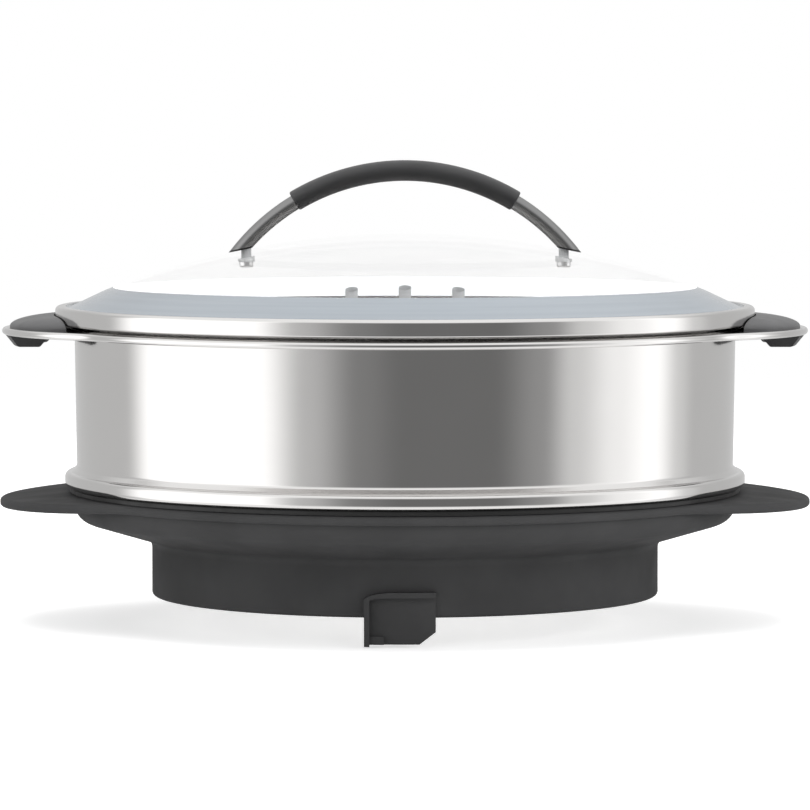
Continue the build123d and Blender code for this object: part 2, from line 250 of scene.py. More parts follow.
def round_corner(mesh: BMesh, vert: Vert, radius: float) -> None:
    """Rounds one corner of a wire with an arc that is tangent to both its edges.

    Args:
        mesh: The mesh that holds the wire.
        vert: The corner.
        radius: The radius of the arc.
    """
    ends = [edge.other_vert(vert).co - vert.co for edge in vert.link_edges]
    turn = math.pi - ends[0].angle(ends[1])
    bmesh.ops.bevel(
        mesh,
        geom=[vert],
        offset=radius * math.tan(turn / 2),
        offset_type="OFFSET",
        segments=max(2, math.ceil(turn / ROUND_STEP)),
        profile=0.5,
        affect="VERTICES",
        material=-1,
    )


def draw_section(corners: Sequence[Corner], closed: bool = True) -> BMesh:
    """Draws a section in the XZ plane and rounds its corners.

    Args:
        corners: The corners in order.
        closed: Whether the last corner joins the first.

    Returns:
        A new mesh that holds the section as a wire.
    """
    mesh = bmesh.new()
    points = [mesh.verts.new((corner.x, 0, corner.z)) for corner in corners]
    join_points(mesh, points + points[:1] if closed else points)
    for point, corner in zip(points, corners):
        if corner.rounding > 0:
            round_corner(mesh, point, corner.rounding)
    return mesh


def sheet_corners(path: Sequence[Corner], thickness: float) -> list[Corner]:
    """Gives a bent sheet its second face, on the right of its path.

    Args:
        path: The corners of the first face, with the roundings of that face.
        thickness: The thickness of the sheet.

    Returns:
        The corners of the closed section.
    """
    points = [Vector((corner.x, corner.z)) for corner in path]
    back = []
    for index, corner in enumerate(path):
        before = points[index] - points[index - 1] if index else points[1] - points[0]
        after = points[index + 1] - points[index] if index + 1 < len(points) else before
        right_before = Vector((before.y, -before.x)).normalized()
        right_after = Vector((after.y, -after.x)).normalized()
        middle = (right_before + right_after).normalized()
        place = points[index] + middle * thickness / middle.dot(right_after)
        turns_right = before.x * after.y - before.y * after.x < 0
        rounding = corner.rounding
        if rounding > 0:
            rounding = max(rounding - thickness, 0.1) if turns_right else rounding + thickness
        back.append(Corner(place.x, place.y, rounding))
    return list(path) + back[::-1]


def join_into(target: BMesh, source: BMesh) -> None:
    """Adds one mesh to another and frees the one that was added.

    Args:
        target: The mesh that grows.
        source: The mesh that is added to it.
    """
    carrier = bpy.data.meshes.new("carrier")
    source.to_mesh(carrier)
    source.free()
    target.from_mesh(carrier)
    bpy.data.meshes.remove(carrier)


def bridge_rims(mesh: BMesh, split_z: float) -> None:
    """Closes a plate between its two open rims above a height and its two below it.

    Args:
        mesh: The mesh with four open rims.
        split_z: The height that parts the upper rims from the lower ones.
    """
    rims = open_edges(mesh)
    upper = [edge for edge in rims if edge.verts[0].co.z > split_z]
    lower = [edge for edge in rims if edge.verts[0].co.z <= split_z]
    for pair in (upper, lower):
        bmesh.ops.bridge_loops(mesh, edges=pair)


def trim(mesh: BMesh, place: Vector, outward: Vector, geometry: Sequence[Any] = ()) -> None:
    """Cuts away what lies beyond a plane and closes the cut.

    Args:
        mesh: The mesh.
        place: A point of the plane.
        outward: The side that is cut away.
        geometry: The part of the mesh that is cut, or nothing for all of it.
    """
    cut = bmesh.ops.bisect_plane(
        mesh,
        geom=list(geometry) or mesh.verts[:] + mesh.edges[:] + mesh.faces[:],
        plane_co=place,
        plane_no=outward,
        clear_outer=True,
    )["geom_cut"]
    bmesh.ops.contextual_create(mesh, geom=only(Edge, cut))


def link_object(mesh: BMesh, name: str) -> Piece:
    """Makes an object of a mesh, frees the mesh and puts the object in the scene.

    Args:
        mesh: The mesh in metres.
        name: The name of the object.

    Returns:
        The new object, at the origin.
    """
    data = bpy.data.meshes.new(name)
    mesh.to_mesh(data)
    mesh.free()
    piece = bpy.data.objects.new(name, data)
    bpy.context.scene.collection.objects.link(piece)
    return piece


def drill_out(piece: Piece, bores: Sequence[Bore]) -> None:
    """Drills upright holes through a piece.

    Args:
        piece: The piece, which has no modifiers yet.
        bores: The holes.
    """
    drill = bmesh.new()
    for bore in bores:
        bmesh.ops.create_cone(
            drill,
            cap_ends=True,
            segments=bore.segments,
            radius1=bore.radius,
            radius2=bore.radius,
            depth=bore.high - bore.low,
            matrix=Matrix.Translation((bore.x, bore.y, (bore.low + bore.high) / 2)),
        )
    resize(drill, MM, MM, MM)
    tool = link_object(drill, "drill")
    cut = piece.modifiers.new("bores", "BOOLEAN")
    cut.operation = "DIFFERENCE"
    cut.solver = "EXACT"
    cut.object = tool
    bpy.context.view_layer.update()
    bored = piece.evaluated_get(bpy.context.evaluated_depsgraph_get())
    piece.data = bpy.data.meshes.new_from_object(bored)
    piece.modifiers.remove(cut)
    bpy.data.objects.remove(tool)


def make_piece(mesh: BMesh, name: str, bores: Sequence[Bore] = ()) -> Piece:
    """Makes an object of a finished mesh: metres, outward faces, true normals.

    Args:
        mesh: The mesh in millimetres, which is freed.
        name: The name of the piece.
        bores: Holes that are drilled through it.

    Returns:
        The new object, at the origin.
    """
    resize(mesh, MM, MM, MM)
    bmesh.ops.recalc_face_normals(mesh, faces=mesh.faces)
    piece = link_object(mesh, name)
    if bores:
        drill_out(piece, bores)
    piece.data.shade_smooth()
    piece.data.set_sharp_from_angle(angle=SHARP_ANGLE)
    normals = piece.modifiers.new("true_normals", "WEIGHTED_NORMAL")
    normals.keep_sharp = True
    return piece


def copy_node(node: str) -> BMesh:
    """Copies the solid of a CAD node, joins its loose triangles and clears its flat faces.

    Args:
        node: The node's name.

    Returns:
        A new mesh in millimetres.
    """
    mesh = bmesh.new()
    mesh.from_mesh(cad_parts[node].data)
    resize(mesh, 1 / MM, 1 / MM, 1 / MM)
    weld(mesh)
    bmesh.ops.dissolve_limit(mesh, angle_limit=FLAT_ANGLE, verts=mesh.verts, edges=mesh.edges)
    return mesh


def soften_edges(piece: Piece, width: float) -> None:
    """Breaks the sharp edges of a piece with a small round.

    Args:
        piece: The piece, whose normals stay true.
        width: The width of the round in millimetres.
    """
    bevel = piece.modifiers.new("soft_edges", "BEVEL")
    bevel.width = width * MM
    bevel.segments = 3
    bevel.limit_method = "ANGLE"
    bevel.angle_limit = SHARP_ANGLE
    bevel.use_clamp_overlap = True
    bevel.harden_normals = False
    piece.modifiers.move(len(piece.modifiers) - 1, 0)


@dataclass(frozen=True)
class EaredOutline:
    """The outline of a disc with an ear on each side, made of tangent arcs."""

    radius: float
    reach: float
    ear_radius: float
    blend_radius: float
    step_length: float = 4.4

    def arcs(self) -> list[tuple[Vector, float, float]]:
        """Works out the arcs, from the tip of the right ear.

        Returns:
            The centre, the angle and the radius of each arc.
        """
        ear_centre = self.reach - self.ear_radius
        disc = self.radius + self.blend_radius
        ear = self.ear_radius + self.blend_radius
        x = (disc**2 - ear**2 + ear_centre**2) / (2 * ear_centre)
        y = math.sqrt(disc**2 - x**2)
        disc_angle = math.atan2(y, x)
        ear_angle = math.atan2(y, x - ear_centre)
        tip = (Vector((ear_centre, 0, 0)), ear_angle, self.ear_radius)
        far_ear = (Vector((-ear_centre, 0, 0)), 2 * ear_angle, self.ear_radius)
        side = (ORIGIN, math.pi - 2 * disc_angle, self.radius)
        first, second, third, fourth = [
            (Vector((across * x, along * y, 0)), disc_angle - ear_angle, self.blend_radius)
            for across, along in ((1, 1), (-1, 1), (-1, -1), (1, -1))
        ]
        return [tip, first, side, second, far_ear, third, side, fourth, tip]

    def sweep(self, mesh: BMesh) -> BMesh:
        """Sweeps a section, drawn at the tip of the right ear, along the outline.

        Args:
            mesh: The mesh that holds the section.

        Returns:
            The same mesh, with the strip closed where it began.
        """
        geometry: list[Any] = []
        for centre, angle, radius in self.arcs():
            steps = max(2, round(abs(angle) * radius / self.step_length))
            geometry = spin(mesh, Axis.Z, angle, steps, centre, geometry)
        weld(mesh)
        return mesh


def tinted(colour: Sequence[float], factor: float) -> tuple[float, float, float, float]:
    """Makes a colour lighter or darker by a factor, and gives it an alpha of one."""
    red, green, blue = (min(1.0, value * factor) for value in colour)
    return red, green, blue, 1.0


class NodeGraph:
    """Adds and links the nodes of one material or world."""

    def __init__(self, owner: bpy.types.Material | bpy.types.World) -> None:
        """Empties the owner's node tree.

        Args:
            owner: The material or world.
        """
        owner.use_nodes = True
        self.tree = owner.node_tree
        self.tree.nodes.clear()

    def add(self, kind: str, sockets: Mapping[Any, Any] | None = None, **settings: Any) -> bpy.types.Node:
        """Adds a node.

        Args:
            kind: The node's type, without its ShaderNode prefix.
            sockets: Values or output sockets, by the name or number of the input.
            settings: The node's own settings.

        Returns:
            The new node.
        """
        node = self.tree.nodes.new("ShaderNode" + kind)
        for name, value in settings.items():
            setattr(node, name, value)
        for name, value in (sockets or {}).items():
            if isinstance(value, Socket):
                self.tree.links.new(value, node.inputs[name])
            else:
                node.inputs[name].default_value = value
        return node

    def place(self) -> Socket:
        """Gives the object's own coordinates, in metres."""
        return self.add("TexCoord").outputs["Object"]

    def maths(self, operation: str, *values: Any) -> Socket:
        """Gives the result of an operation on numbers or sockets."""
        return self.add("Math", dict(enumerate(values)), operation=operation).outputs[0]

    def stretch(self, vector: Socket, factors: Sequence[float]) -> Socket:
        """Multiplies each axis of a vector by its own factor."""
        return self.add("VectorMath", {0: vector, 1: factors}, operation="MULTIPLY").outputs[0]

    def distance(self, vector: Socket, mask: Sequence[float]) -> Socket:
        """Gives the length of a vector along the axes that a mask keeps."""
        return self.add("VectorMath", {0: self.stretch(vector, mask)}, operation="LENGTH").outputs["Value"]

    def ramp(self, value: Any, low: float, high: float, start: float = 0.0, end: float = 1.0) -> Socket:
        """Maps the range from low to high smoothly to the range from start to end."""
        sockets = {"Value": value, "From Min": low, "From Max": high, "To Min": start, "To Max": end}
        return self.add("MapRange", sockets, interpolation_type="SMOOTHSTEP").outputs[0]

    def noise(self, vector: Socket, scale: float, detail: float = 2.0) -> Socket:
        """Gives a grey noise with a number of features for each metre and a number of finer layers."""
        return self.add("TexNoise", {"Vector": vector, "Scale": scale, "Detail": detail}).outputs["Fac"]

    def patches(self, scale: float, detail: float, start: float = 0.0, end: float = 1.0) -> Socket:
        """Varies a number from place to place between two values."""
        return self.ramp(self.noise(self.place(), scale, detail), 0.3, 0.7, start, end)

    def blend(self, factor: Socket, first: Any, second: Any) -> Socket:
        """Mixes two colours."""
        return self.add("Mix", {0: factor, 6: first, 7: second}, data_type="RGBA").outputs[2]

    def tones(self, factor: Socket, colour: Colour, spread: float) -> Socket:
        """Makes a colour lighter and darker by a share, as a factor says."""
        return self.blend(factor, tinted(colour, 1 - spread), tinted(colour, 1 + spread))

    def clouded(self, colour: Colour, spread: float, scale: float) -> Socket:
        """Varies a colour by a share, with a number of clouds for each metre."""
        return self.tones(self.patches(scale, 3.0), colour, spread)

    def bump(self, height: Socket, depth: float) -> Socket:
        """Turns a height pattern that is so many millimetres deep into normals."""
        sockets = {"Strength": 1.0, "Distance": depth * MM, "Height": height}
        return self.add("Bump", sockets).outputs[0]


@dataclass(frozen=True)
class Finish:
    """What all finishes share: a name and the record's slot that they stand for."""

    name: str
    slot: str

    def material(self) -> bpy.types.Material:
        """Makes the material of this finish once.

        Returns:
            The material.
        """
        existing = bpy.data.materials.get(self.name)
        if existing:
            return existing
        material = bpy.data.materials.new(self.name)
        graph = NodeGraph(material)
        shader = graph.add("BsdfPrincipled", self.sockets(graph))
        graph.add("OutputMaterial", {"Surface": shader.outputs[0]})
        return material

    def sockets(self, graph: NodeGraph) -> dict[str, Any]:
        """Gives what goes into the Principled shader of this finish.

        Args:
            graph: The graph of the material.

        Returns:
            The values and output sockets, by the names of the inputs.
        """
        raise NotImplementedError


@dataclass(frozen=True)
class MouldedPlastic(Finish):
    """Dark plastic with the fine spark grain that its mould leaves."""

    colour: Colour = (0.05, 0.05, 0.051)
    roughness: float = 0.42
    shine: float = 0.5
    grain: float = 0.35
    grain_depth: float = 0.012

    def sockets(self, graph: NodeGraph) -> dict[str, Any]:
        """Gives a clouded colour, uneven gloss and a pebbled grain; see Finish.sockets."""
        place = graph.place()
        cells = {"Vector": place, "Scale": 1 / (self.grain * MM)}
        pebbles = graph.add("TexVoronoi", cells, feature="SMOOTH_F1").outputs["Distance"]
        fine = graph.noise(place, 3 / (self.grain * MM))
        height = graph.maths("ADD", pebbles, graph.maths("MULTIPLY", fine, 0.5))
        return {
            "Base Color": graph.clouded(self.colour, spread=0.07, scale=30.0),
            "Roughness": graph.patches(45.0, 4.0, start=self.roughness - 0.05, end=self.roughness + 0.06),
            "Specular IOR Level": self.shine,
            "Normal": graph.bump(height, self.grain_depth),
        }


@dataclass(frozen=True)
class SoftRubber(Finish):
    """Rubber or silicone: a dull skin with a soft bloom."""

    colour: Colour = (0.04, 0.04, 0.041)
    roughness: float = 0.55
    bloom: float = 0.15

    def sockets(self, graph: NodeGraph) -> dict[str, Any]:
        """Gives a colour, a bloom and a skin that is a little uneven; see Finish.sockets."""
        return {
            "Base Color": graph.clouded(self.colour, spread=0.10, scale=60.0),
            "Roughness": graph.patches(120.0, 5.0, start=self.roughness - 0.05, end=self.roughness + 0.08),
            "Sheen Weight": self.bloom,
            "Sheen Roughness": 0.5,
            "Normal": graph.bump(graph.noise(graph.place(), scale=5200.0), depth=0.008),
        }


@dataclass(frozen=True)
class GroundSteel(Finish):
    """Stainless steel with the fine lines of its grinding, more or less polished."""

    colour: Colour = (0.72, 0.71, 0.70)
    roughness: float = 0.12
    spread: float = 0.03
    line_pitch: float = 0.3
    line_depth: float = 0.0006
    line_stretch: float = 400.0
    brushing: Brushing = Brushing.ROUND_THE_AXIS
    centre_z: float = 0.0

    def line_coordinates(self, graph: NodeGraph) -> Socket:
        """Gives coordinates that change fast across the lines and slowly along them.

        Args:
            graph: The graph of the material.

        Returns:
            The output socket with the coordinates, in line pitches.
        """
        across = 1 / (self.line_pitch * MM)
        along = across / self.line_stretch
        shift = {"Vector": graph.place(), "Location": (0, 0, -self.centre_z * MM)}
        place = graph.add("Mapping", shift).outputs[0]
        axes = graph.add("SeparateXYZ", {0: place}).outputs
        if self.brushing is Brushing.ROUND_THE_AXIS:
            fast = graph.maths("ADD", graph.distance(place, (1, 1, 0)), axes[2])
            parts = [(axes[0], along), (axes[1], along), (fast, across)]
        else:
            radius = graph.distance(place, (1, 0, 1))
            parts = [(axes[0], along), (axes[1], across), (radius, across)]
        scaled = {index: graph.maths("MULTIPLY", value, by) for index, (value, by) in enumerate(parts)}
        return graph.add("CombineXYZ", scaled).outputs[0]

    def sockets(self, graph: NodeGraph) -> dict[str, Any]:
        """Gives polished metal with fine lines and faint cloudy gloss; see Finish.sockets."""
        lines = graph.noise(self.line_coordinates(graph), scale=1.0, detail=3.0)
        wiped = graph.noise(graph.place(), scale=25.0, detail=4.0)
        both = graph.maths("ADD", graph.maths("MULTIPLY", lines, 0.5), graph.maths("MULTIPLY", wiped, 0.5))
        dull, bright = self.roughness + self.spread, self.roughness - self.spread
        return {
            "Metallic": 1.0,
            "Base Color": graph.clouded(self.colour, spread=0.012, scale=18.0),
            "Roughness": graph.ramp(both, 0.35, 0.65, bright, dull),
            "Normal": graph.bump(lines, self.line_depth),
        }


@dataclass(frozen=True)
class ClearGlass(Finish):
    """Hardened glass that hardly shows."""

    colour: Colour = (1.0, 1.0, 1.0)
    refraction: float = 1.14
    presence: float = 0.05

    def sockets(self, graph: NodeGraph) -> dict[str, Any]:
        """Gives clear glass that is faintly wavy; see Finish.sockets."""
        return {
            "Base Color": tinted(self.colour, 1),
            "IOR": self.refraction,
            "Alpha": self.presence,
            "Transmission Weight": 1.0,
            "Roughness": 0.0,
            "Normal": graph.bump(graph.noise(graph.place(), scale=22.0, detail=1.0), depth=0.004),
        }


@dataclass(frozen=True)
class CloudyGlass(Finish):
    """Glass that looks solid, where it is steep or ground: faintly streaked, with a painted white glow on
    its back faces.
    """

    colour: Colour = (0.5, 0.5, 0.5)
    roughness: float = 0.1
    # Strength of a painted white glow on the back faces: painted light, as the glass is no lamp.
    painted_glow_behind: float = 0.0
    streak_height: float = 1.5

    def sockets(self, graph: NodeGraph) -> dict[str, Any]:
        """Gives a streaky body, and a painted white glow on its back faces; see Finish.sockets."""
        place = graph.stretch(graph.place(), (8.0, 8.0, 1 / (self.streak_height * MM)))
        streaks = graph.ramp(graph.noise(place, scale=1.0), 0.3, 0.7)
        back = graph.add("NewGeometry").outputs["Backfacing"]
        return {
            "Base Color": graph.tones(streaks, self.colour, spread=0.03),
            "Roughness": graph.patches(90.0, 3.0, start=self.roughness, end=self.roughness + 0.06),
            # Painted light: the back faces glow white, for the bright room seen through the glass.
            "Emission Color": (1, 1, 1, 1),
            "Emission Strength": graph.maths("MULTIPLY", back, self.painted_glow_behind),
        }


@dataclass(frozen=True)
class CloudySilicone(Finish):
    """Translucent silicone, as in a clear washer."""

    colour: Colour = (0.78, 0.79, 0.80)

    def sockets(self, graph: NodeGraph) -> dict[str, Any]:
        """Gives a cloudy, partly clear body; see Finish.sockets."""
        return {
            "Base Color": graph.clouded(self.colour, spread=0.06, scale=300.0),
            "Roughness": graph.patches(400.0, 3.0, start=0.35, end=0.5),
            "Transmission Weight": 0.35,
            "IOR": 1.41,
        }


BASE_PLASTIC = MouldedPlastic("moulded_base_plastic", "base_plastic", (0.064, 0.064, 0.065), 0.60, 0.03)
GRIP_PLASTIC = MouldedPlastic("moulded_grip_plastic", "grip_plastic", (0.078, 0.078, 0.080))
# The bar under each ear is the grip's own plastic painted darker: painted shade for the shadow under the
# ear.
BAR_PLASTIC_PAINTED_SHADE = MouldedPlastic("moulded_bar_plastic", "grip_plastic", (0.028, 0.028, 0.029), shine=0.25)
SLEEVE_RUBBER = SoftRubber("soft_sleeve_rubber", "sleeve_rubber", (0.028, 0.028, 0.029))
SEAL_RUBBER = SoftRubber("black_seal_rubber", "seal_rubber", (0.010, 0.010, 0.010), 0.6, 0.03)
BASKET_STEEL = GroundSteel("polished_steel", "basket_steel")
BOW_STEEL = GroundSteel(
    "satin_steel",
    "bow_steel",
    (0.28, 0.28, 0.28),
    roughness=0.38,
    spread=0.04,
    line_pitch=0.5,
    line_depth=0.0002,
    brushing=Brushing.ALONG_THE_BOW,
    centre_z=105.0,
)
SCREW_STEEL = GroundSteel("socket_screw_steel", "screw_steel", (0.86, 0.86, 0.86), 0.3)
WASHER_SILICONE = CloudySilicone("cloudy_silicone", "clear_washer", (0.93, 0.94, 0.95))
DOME_GLASS = ClearGlass("clear_dome_glass", "lid_glass")
# Painted shade and painted light: the steep edge is grey-blue for the shaded inside of the lid seen through
# it, and its back faces glow white.
STEEP_GLASS = CloudyGlass("smoky_glass", "lid_glass", (0.315, 0.350, 0.385), 0.08, 0.95)
GROUND_GLASS = CloudyGlass("ground_glass", "lid_glass", (0.54, 0.55, 0.56), 0.45)


def finish_piece(
    mesh: BMesh,
    name: str,
    finish: Finish,
    body: str,
    node: str,
    bores: Sequence[Bore] = (),
    edge: float = 0.0,
) -> Piece:
    """Makes a piece of a mesh, with its finish, its body and the CAD node that it stands for.

    Args:
        mesh: The mesh in millimetres, which is freed.
        name: The name of the piece.
        finish: Its finish.
        body: The body that it rides on.
        node: The CAD node that it replaces.
        bores: Holes that are drilled through it.
        edge: The width of its edge rounds, or zero.

    Returns:
        The new object, at the origin.
    """
    piece = make_piece(mesh, name, bores)
    if edge > 0:
        soften_edges(piece, edge)
    piece.data.materials.clear()
    piece.data.materials.append(finish.material())
    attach(piece, body)
    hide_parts(node)
    log.info("%s: %d faces, %s", piece.name, len(piece.data.polygons), finish.name)
    return piece


def dress_node(node: str, finish: Finish) -> None:
    """Gives a CAD node, whose shape is kept, its finish.

    Args:
        node: The node's name.
        finish: The finish.
    """
    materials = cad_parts[node].data.materials
    materials.clear()
    materials.append(finish.material())
    log.info("%s: kept, %s", node, finish.name)


@dataclass(frozen=True)
class SocketScrew:
    """A screw that stands on its head, with a hexagon socket in the head."""

    head_radius: float
    head_height: float
    shank_radius: float
    face_share: float = 0.55
    dome_share: float = 0.35
    socket_share: float = 0.45
    socket_sides: int = 6

    def draw(self, length: float) -> BMesh:
        """Draws one screw.

        Args:
            length: Its whole length.

        Returns:
            A new mesh, with the middle of the head's lower face at the origin.
        """
        radius, height, neck = self.head_radius, self.head_height, self.shank_radius
        corners = [
            Corner(radius * self.face_share, 0),
            Corner(radius, 0, height * self.dome_share),
            Corner(radius, height, 0.15),
            Corner(neck, height, 0.2),
            Corner(neck, length, 0.3),
            Corner(0, length),
        ]
        screw = turn_round(draw_section(corners, closed=False), SCREW_STEPS)
        depth = height / 2
        floor = bmesh.ops.create_circle(
            screw,
            cap_ends=True,
            segments=self.socket_sides,
            radius=radius * self.socket_share,
            matrix=Matrix.Translation((0, 0, depth)),
        )["verts"]
        sides = {edge for vert in floor for edge in vert.link_edges}
        socket = bmesh.ops.extrude_edge_only(screw, edges=list(sides))["geom"]
        bmesh.ops.translate(screw, verts=only(Vert, socket), vec=(0, 0, -depth))
        bmesh.ops.bridge_loops(screw, edges=open_edges(screw))
        return screw

    def draw_set(self, box: NodeBox, rows: Sequence[int]) -> BMesh:
        """Draws the screws that fill the box of a CAD node.

        Args:
            box: The node's box.
            rows: The signs of the places along Y, or zero for the middle.

        Returns:
            A new mesh with a screw on each side in each row.
        """
        mesh = bmesh.new()
        x, y = box.high.x - self.head_radius, box.high.y - self.head_radius
        for side in SIDES:
            for row in rows:
                screw = self.draw(box.high.z - box.low.z)
                move(screw, (side * x, row * y, box.low.z))
                join_into(mesh, screw)
        return mesh


GRIP_SCREW = SocketScrew(3.2, 1.8, 1.75)
HANDLE_SCREW = SocketScrew(3.5, 2.8, 2.0)


@dataclass
class SteamerBase:
    """The moulded base: skirt, sloping dish, flange with two ears, key and seals."""

    skirt_bore: float = 123.5
    skirt_wall: float = 3.0
    skirt_depth: float = 24.0
    ceiling_width: float = 11.5
    dish_wall: float = 3.0
    dish_slope: float = 16.5
    dish_shoulder: float = 3.5
    dish_corner: float = 9.0
    flange_lip: float = 2.8
    flange_thickness: float = 4.6
    flange_edge: float = 1.9
    edge_overlap: float = 0.2
    ear_radius: float = 102.0
    ear_droop: float = 3.0
    ear_blend: float = 60.0
    groove_width: float = 4.0
    groove_gap: float = 0.1
    gasket_lip: float = 1.8
    gasket_edge: float = 0.8
    key_edge: float = 0.35
    box: NodeBox = node_box("base_dish")
    seal: NodeBox = node_box("bowl_seal")
    gasket: NodeBox = node_box("seat_gasket")

    @property
    def dish(self) -> float:
        """Gives the outer radius of the dish's upright side."""
        return self.box.high.y - self.flange_lip

    def dish_section(self) -> list[Corner]:
        """Works out the section of skirt and dish, open where the flange joins it.

        Returns:
            Its corners.
        """
        skirt = self.skirt_bore + self.skirt_wall
        inner = self.dish - self.dish_wall
        opening = self.skirt_bore - self.ceiling_width
        slope = math.tan(math.radians(self.dish_slope))
        shoulder = self.skirt_depth + self.dish_shoulder
        rise = self.dish_wall / math.cos(math.radians(self.dish_slope))
        top = self.box.high.z
        groove_top = self.seal.high.z + self.groove_gap
        groove_outer = self.seal.high.x + self.groove_gap
        groove_inner = groove_outer - self.groove_width - 2 * self.groove_gap
        return [
            Corner(self.dish, top),
            Corner(inner, top, 0.8),
            Corner(inner, shoulder + (inner - skirt) * slope + rise, self.dish_corner - self.dish_wall),
            Corner(opening, shoulder + (opening - skirt) * slope + rise, 1.2),
            Corner(opening, self.skirt_depth, 0.6),
            Corner(groove_inner, self.skirt_depth, 0.3),
            Corner(groove_inner, groove_top),
            Corner(groove_outer, groove_top),
            Corner(groove_outer, self.skirt_depth, 0.3),
            Corner(self.skirt_bore, self.skirt_depth, 1.0),
            Corner(self.skirt_bore, 0, 0.5),
            Corner(skirt, 0, 2.0),
            Corner(skirt, shoulder, 4.5),
            Corner(self.dish, shoulder + (self.dish - skirt) * slope, self.dish_corner),
            Corner(self.dish, top - self.flange_thickness),
        ]

    def build_dish(self) -> None:
        """Makes the moulding: the turned dish, the eared edge and the plate between them."""
        mesh = turn_round(draw_section(self.dish_section(), closed=False))
        top, reach = self.box.high.z, self.box.high.x
        bottom = top - self.flange_thickness
        start = reach - self.flange_edge - self.edge_overlap
        corners = [
            Corner(start, top),
            Corner(reach, top, self.flange_edge),
            Corner(reach, bottom, self.flange_edge),
            Corner(start, bottom),
        ]
        outline = EaredOutline(self.box.high.y, reach, self.ear_radius, self.ear_blend)
        join_into(mesh, outline.sweep(draw_section(corners, closed=False)))
        bridge_rims(mesh, (top + bottom) / 2)
        for vert in mesh.verts:
            distance = vert.co.xy.length
            if distance > self.dish and vert.co.z > bottom - TOUCH:
                vert.co.z -= self.ear_droop * (distance - self.dish) / (reach - self.dish)
        finish_piece(mesh, "moulded_base", BASE_PLASTIC, "base", "base_dish")

    def build_gasket(self) -> None:
        """Makes the gasket on the flange, with its lip inside the dish."""
        low, high, outer = self.gasket.low.z, self.gasket.high.z, self.gasket.high.x
        lip_outer = self.dish - self.dish_wall - self.groove_gap
        lip_inner = self.dish - self.dish_wall - self.gasket_lip
        top = self.box.high.z
        corners = [
            Corner(lip_inner, low, 0.5),
            Corner(lip_outer, low, 0.5),
            Corner(lip_outer, top),
            Corner(outer, top, 0.4),
            Corner(outer, high, self.gasket_edge),
            Corner(lip_inner, high, self.gasket_edge),
        ]
        mesh = turn_round(draw_section(corners))
        finish_piece(mesh, "seat_gasket_ring", SEAL_RUBBER, "base", "seat_gasket")

    def build(self) -> None:
        """Makes every piece of the base."""
        self.build_dish()
        self.build_gasket()
        key = copy_node("safety_key")
        finish_piece(key, "safety_key_moulding", BASE_PLASTIC, "base", "safety_key", edge=self.key_edge)
        dress_node("bowl_seal", SEAL_RUBBER)


@dataclass
class Basket:
    """The steel basket: wall with a rolled bead, perforated floor, eared rim and the grips' screws."""

    sheet: float = 0.8
    taper: float = 1.0
    bead_reach: float = 6.0
    bead_height: float = 7.5
    bead_flare: float = 2.7
    bead_round: float = 2.6
    bead_return: float = 8.0
    seat_rise: float = 2.8
    seat_width: float = 5.8
    seat_slope: float = 1.6
    seat_run: float = 0.6
    roll_radius: float = 1.75
    roll_steps: int = 28
    ear_radius: float = 100.0
    ear_blend: float = 60.0
    wall: NodeBox = node_box("basket_wall")
    rim: NodeBox = node_box("rim_plate")
    screws: NodeBox = node_box("grip_screws")

    @property
    def radius(self) -> float:
        """Gives the wall's outer radius at its top."""
        return self.wall.high.x - self.bead_reach + self.taper

    def build_wall(self) -> None:
        """Makes the wall from its top down to the return of the bead."""
        foot = self.radius - self.taper
        bottom, top, bead = self.wall.low.z, self.wall.high.z, self.wall.high.x
        path = [
            Corner(self.radius, top),
            Corner(foot, bottom + self.bead_height + self.bead_flare, 2.4),
            Corner(foot + self.bead_flare, bottom + self.bead_height, 0.8),
            Corner(bead, bottom + self.bead_height, self.bead_round),
            Corner(bead, bottom, self.bead_round),
            Corner(bead - self.bead_return, bottom),
        ]
        mesh = turn_round(draw_section(sheet_corners(path, self.sheet)))
        finish_piece(mesh, "polished_wall", BASKET_STEEL, "basket", "basket_wall")

    def build_rim(self) -> None:
        """Makes the rim: the seat for the lid, the eared plate and its rolled edge."""
        bore = self.radius - self.sheet
        seat_outer = bore + self.seat_width
        seat_top = self.rim.high.z
        plate_top = seat_top - self.seat_rise
        plate_start = seat_outer + self.seat_slope
        path = [
            Corner(bore, plate_top - self.sheet),
            Corner(bore, seat_top, 1.2),
            Corner(seat_outer, seat_top, 1.2),
            Corner(plate_start, plate_top, 1.0),
            Corner(plate_start + self.seat_run, plate_top),
        ]
        seat = sheet_corners(path, self.sheet)
        mesh = turn_round(draw_section(seat[len(path) :] + seat[: len(path)], closed=False))
        middle_z = plate_top - self.sheet / 2
        centre = Vector((self.rim.high.x - self.roll_radius, 0, middle_z))
        gap = math.asin(self.sheet / 2 / self.roll_radius)
        roll = bmesh.new()
        lip = roll.verts.new(centre + self.roll_radius * Vector((-math.cos(gap), 0, math.sin(gap))))
        spin(roll, Axis.Y, 2 * math.pi - 2 * gap, self.roll_steps, centre, [lip])
        outline = EaredOutline(self.rim.high.y, self.rim.high.x, self.ear_radius, self.ear_blend)
        join_into(mesh, outline.sweep(roll))
        bridge_rims(mesh, middle_z)
        finish_piece(mesh, "rolled_rim", BASKET_STEEL, "basket", "rim_plate")

    def build(self) -> None:
        """Makes every piece of the basket but the grips."""
        self.build_wall()
        self.build_rim()
        screws = GRIP_SCREW.draw_set(self.screws, SIDES)
        finish_piece(screws, "grip_screw_set", SCREW_STEEL, "basket", "grip_screws")
        dress_node("perforated_floor", BASKET_STEEL)


